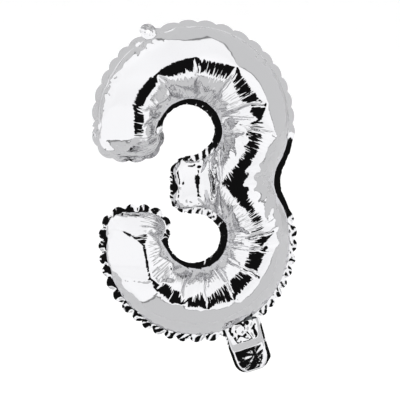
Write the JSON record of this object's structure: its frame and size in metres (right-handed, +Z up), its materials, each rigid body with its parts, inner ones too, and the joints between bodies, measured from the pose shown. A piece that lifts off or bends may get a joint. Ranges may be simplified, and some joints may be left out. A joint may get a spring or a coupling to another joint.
{
  "type": "foil number balloon",
  "caption": "Silver foil balloon in the shape of the number three, blown up, with a hanging tab and a flat neck folded up behind.",
  "frame": {"origin": "centre of the hanging hole in the tab at the upper left, in the seam's plane", "axes": "+X to the right of the digit seen from the front, +Y away from its front through the seam, +Z up the digit"},
  "size_m": [0.2074, 0.0668, 0.3544],
  "materials": {
    "foil": "mirror bright metallised film",
    "valve_film": "clear to milky polyethylene film",
    "release_ink": "thin printed coating"
  },
  "bodies": {
    "envelope": {"front_panel": "foil", "back_panel": "foil", "seam_flange": "foil", "valve_front_film": "valve_film", "valve_back_film": "valve_film", "valve_release_patch": "release_ink"},
    "neck": {"neck_front_film": "foil", "neck_back_film": "foil", "neck_side_welds": "foil"},
    "tail": {"tail_front_film": "foil", "tail_back_film": "foil", "tail_side_welds": "foil"},
    "flap": {"valve_flap": "valve_film"}
  },
  "joints": [
    {"name": "neck_fold", "type": "hinge", "parent": "envelope", "child": "neck", "pos_m": [0.09571, 0, -0.3003], "axis": [0.9563, 0, 0.2924], "range_deg": [-75, 75]},
    {"name": "tail_fold", "type": "hinge", "parent": "neck", "child": "tail", "pos_m": [0.10761, 0.0016, -0.33922], "axis": [0.9563, 0, 0.2924], "range_deg": [-170, 0]},
    {"name": "valve_opening", "type": "hinge", "parent": "envelope", "child": "flap", "pos_m": [0.09218, 0.00028, -0.28873], "axis": [-0.9563, 0, -0.2924], "range_deg": [0, 6], "stiffness_Nm_per_rad": 0.001}
  ]
}
